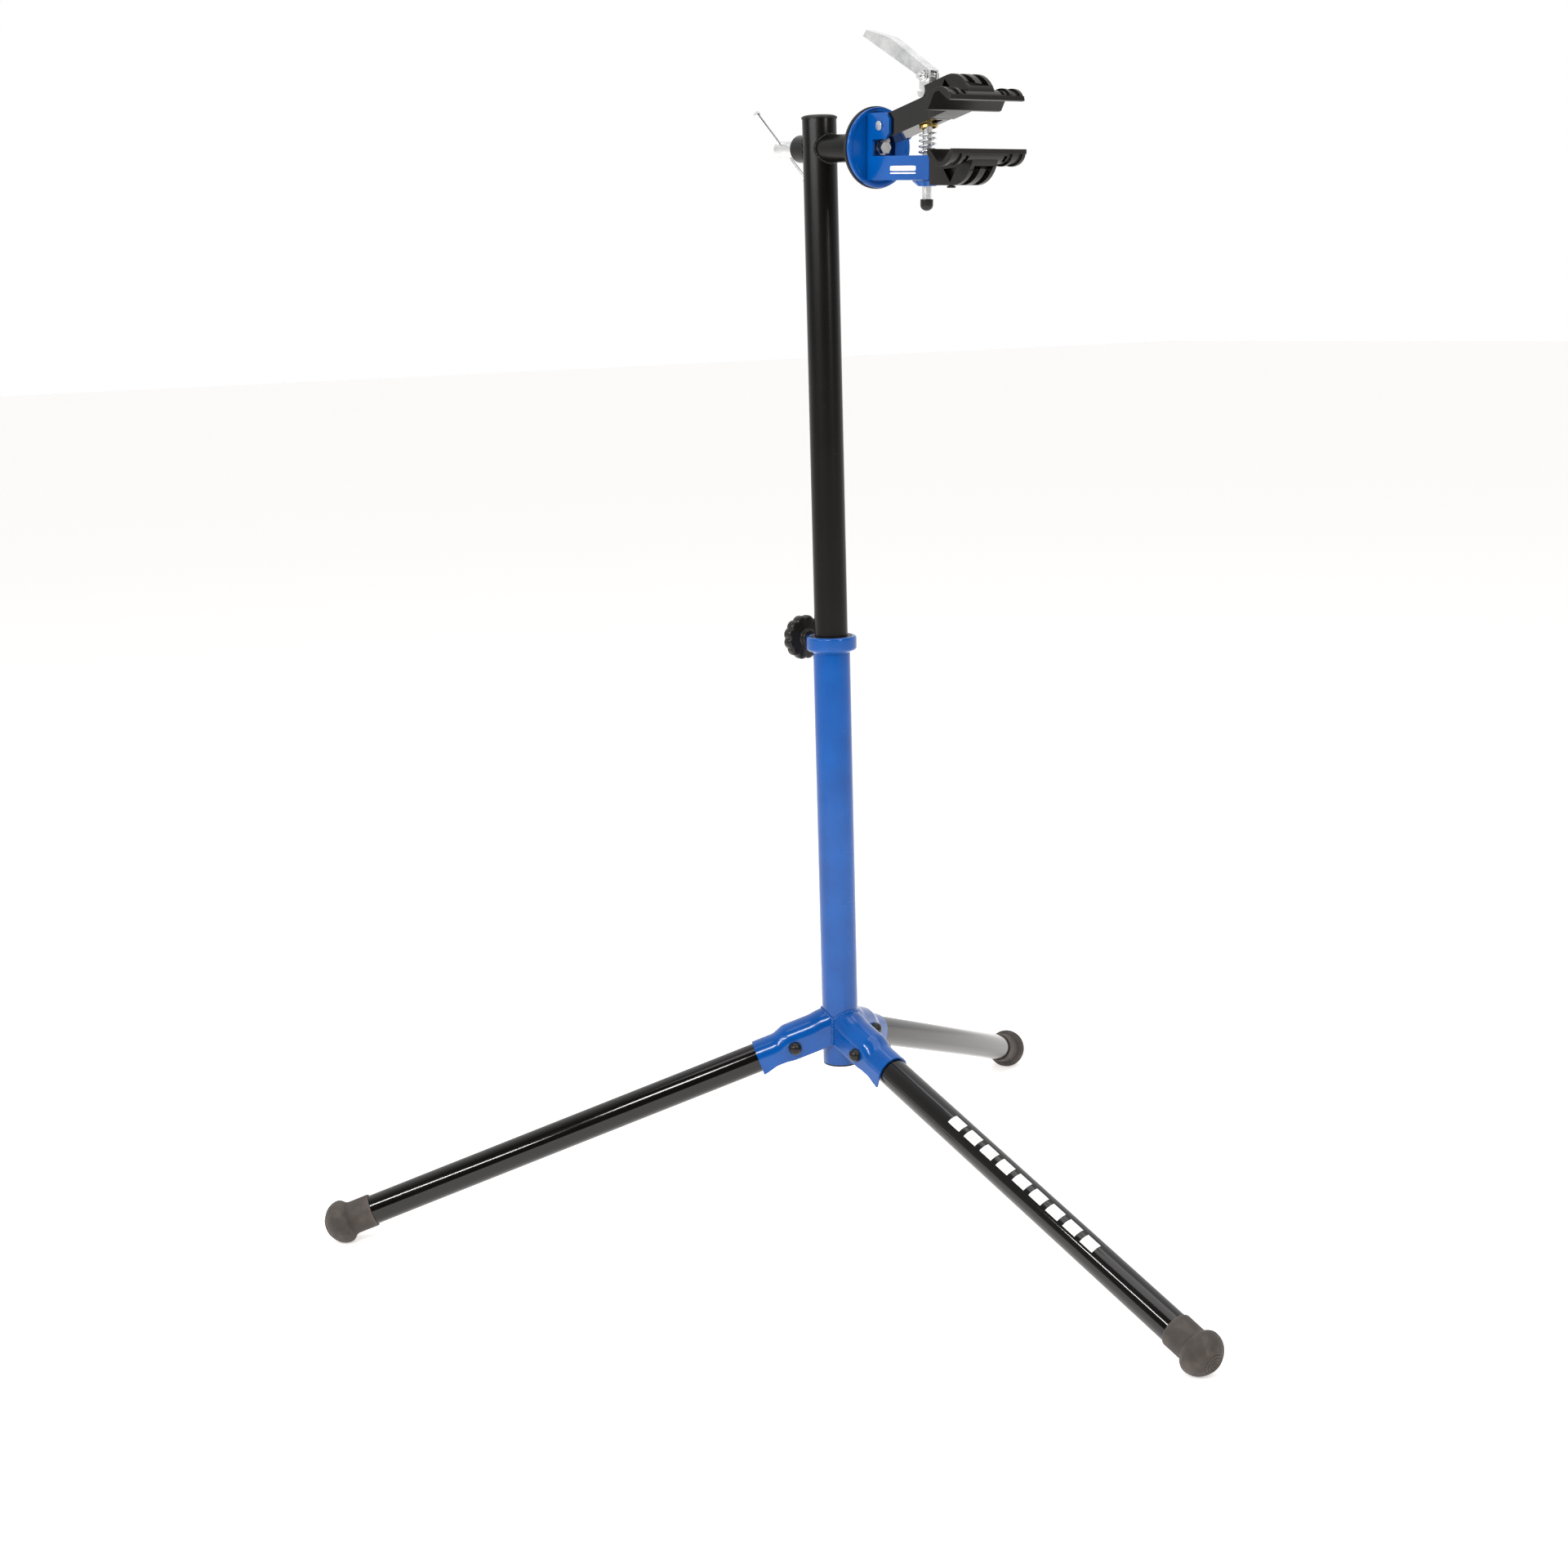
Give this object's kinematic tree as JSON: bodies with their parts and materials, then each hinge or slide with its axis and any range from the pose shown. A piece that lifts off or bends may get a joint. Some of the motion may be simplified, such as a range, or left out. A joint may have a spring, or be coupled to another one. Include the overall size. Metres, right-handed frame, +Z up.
{
  "type": "bicycle repair stand",
  "caption": "Folding bicycle repair stand: tripod of hinged tube legs, telescopic mast and a rotating clamp head with grooved jaws and a cam lever.",
  "frame": {"origin": "on the floor, at the middle of the outer box seen from above", "axes": "+Z up along the mast, +X the way the front leg and the clamp head point, +Y to the left seen from behind the mast"},
  "size_m": [0.939, 1.0762, 1.3548],
  "materials": {
    "blue_paint": "gloss powder coat",
    "black_paint": "gloss enamel",
    "zinc_plate": "bright zinc plate",
    "black_plastic": "moulded, satin",
    "dark_rubber": "moulded rubber",
    "nylon": "plain nylon",
    "yellow_zinc": "yellow passivated zinc"
  },
  "bodies": {
    "base": {"lower_column": "blue_paint", "column_collar": "blue_paint", "guide_bush": "nylon", "column_bottom_plug": "black_plastic", "leg_socket_front": "blue_paint", "leg_socket_right": "blue_paint", "leg_socket_left": "blue_paint", "leg_bolt_front": "zinc_plate", "leg_bolt_right": "zinc_plate", "leg_bolt_left": "zinc_plate", "leg_bolt_cap_front_a": "black_plastic", "leg_bolt_cap_front_b": "black_plastic", "leg_bolt_cap_right_a": "black_plastic", "leg_bolt_cap_right_b": "black_plastic", "leg_bolt_cap_left_a": "black_plastic", "leg_bolt_cap_left_b": "black_plastic"},
    "pressure_pad": {"pressure_pad": "nylon"},
    "height_knob": {"height_knob": "black_plastic", "knob_stud": "zinc_plate"},
    "mast": {"upper_column": "black_paint", "mast_bottom_plug": "black_plastic", "mast_cap": "black_plastic", "cross_tube": "black_paint", "brake_flange": "zinc_plate", "axle_bush_front": "nylon", "axle_bush_rear": "nylon"},
    "head": {"friction_disc": "dark_rubber", "head_disc": "blue_paint", "axle_washer": "zinc_plate", "axle_bolt": "zinc_plate", "fork_and_lower_arm": "blue_paint", "rod_boss": "blue_paint", "lower_jaw": "black_plastic", "lower_jaw_screw": "zinc_plate", "clamp_spring": "zinc_plate"},
    "thrust_washer": {"thrust_washer": "zinc_plate"},
    "t_nut": {"t_nut": "zinc_plate"},
    "tommy_bar": {"tommy_bar": "zinc_plate", "tommy_bar_end": "zinc_plate"},
    "upper_arm": {"upper_arm": "black_paint", "arm_pin": "zinc_plate", "upper_jaw": "black_plastic", "upper_jaw_screw": "zinc_plate", "spring_cup": "yellow_zinc"},
    "cam_saddle": {"cam_saddle": "zinc_plate"},
    "clamp_screw": {"clamp_rod": "zinc_plate", "rod_end_cap": "black_plastic", "lever_bolt": "zinc_plate", "lever_nut": "zinc_plate"},
    "cam_lever": {"cam_lever": "zinc_plate"},
    "leg_front": {"leg_tube_front": "black_paint", "foot_front": "dark_rubber"},
    "leg_right": {"leg_tube_right": "black_paint", "foot_right": "dark_rubber"},
    "leg_left": {"leg_tube_left": "black_paint", "foot_left": "dark_rubber"}
  },
  "joints": [
    {"name": "mast_slide", "type": "slide", "parent": "base", "child": "mast", "axis": [0, 0, 1], "range_m": [-0.07, 0.28]},
    {"name": "pad_travel", "type": "slide", "parent": "base", "child": "pressure_pad", "axis": [-1, 0, 0], "range_m": [0, 0.0025]},
    {"name": "height_knob_turn", "type": "hinge", "parent": "pressure_pad", "child": "height_knob", "pos_m": [-0.19763, 0, 0.6889], "axis": [-1, 0, 0], "range_deg": [0, 720]},
    {"name": "head_spin", "type": "hinge", "parent": "mast", "child": "head", "pos_m": [-0.14763, 0, 1.2379], "axis": [0.9988, 0, -0.048], "continuous": true},
    {"name": "thrust_washer_travel", "type": "slide", "parent": "head", "child": "thrust_washer", "axis": [-0.9988, 0, 0.048], "range_m": [0, 0.00375]},
    {"name": "t_nut_turn", "type": "hinge", "parent": "thrust_washer", "child": "t_nut", "pos_m": [-0.20367, 0, 1.24059], "axis": [-0.9988, 0, 0.048], "range_deg": [0, 1080]},
    {"name": "tommy_bar_slide", "type": "slide", "parent": "t_nut", "child": "tommy_bar", "axis": [0.0345, -0.6947, 0.7185], "range_m": [-0.0395, 0.0345]},
    {"name": "clamp_screw_turn", "type": "hinge", "parent": "cam_saddle", "child": "clamp_screw", "pos_m": [0.04265, 0, 1.27882], "axis": [0.048, 0, 0.9988], "range_deg": [-4320, 1440]},
    {"name": "cam_saddle_travel", "type": "slide", "parent": "head", "child": "cam_saddle", "axis": [0.048, 0, 0.9988], "range_m": [-0.018, 0.006]},
    {"name": "upper_arm_pivot", "type": "hinge", "parent": "head", "child": "upper_arm", "pos_m": [-0.01813, 0, 1.2536], "axis": [0, -1, 0], "range_deg": [-16.6, 5.6], "deforming": ["clamp_spring"]},
    {"name": "cam_lever_pivot", "type": "hinge", "parent": "clamp_screw", "child": "cam_lever", "pos_m": [0.04366, 0, 1.29979], "axis": [0, 1, 0], "range_deg": [0, 70]},
    {"name": "leg_fold_front", "type": "hinge", "parent": "base", "child": "leg_front", "pos_m": [-0.09097, 0, 0.21107], "axis": [0, 1, 0], "range_deg": [0, 70.8]},
    {"name": "leg_fold_right", "type": "hinge", "parent": "base", "child": "leg_right", "pos_m": [-0.17596, 0.04907, 0.21107], "axis": [-0.866, -0.5, 0], "range_deg": [0, 70.8]},
    {"name": "leg_fold_left", "type": "hinge", "parent": "base", "child": "leg_left", "pos_m": [-0.17596, -0.04907, 0.21107], "axis": [0.866, -0.5, 0], "range_deg": [0, 70.8]}
  ],
  "couplings": [
    {"joint": "pad_travel", "follows": "height_knob_turn", "m_per_rad": 0.00019894},
    {"joint": "thrust_washer_travel", "follows": "t_nut_turn", "m_per_rad": 0.00019894},
    {"joint": "cam_saddle_travel", "follows": "clamp_screw_turn", "m_per_rad": 0.00023873},
    {"joint": "upper_arm_pivot", "follows": "clamp_screw_turn", "ratio": 0.0038381}
  ]
}
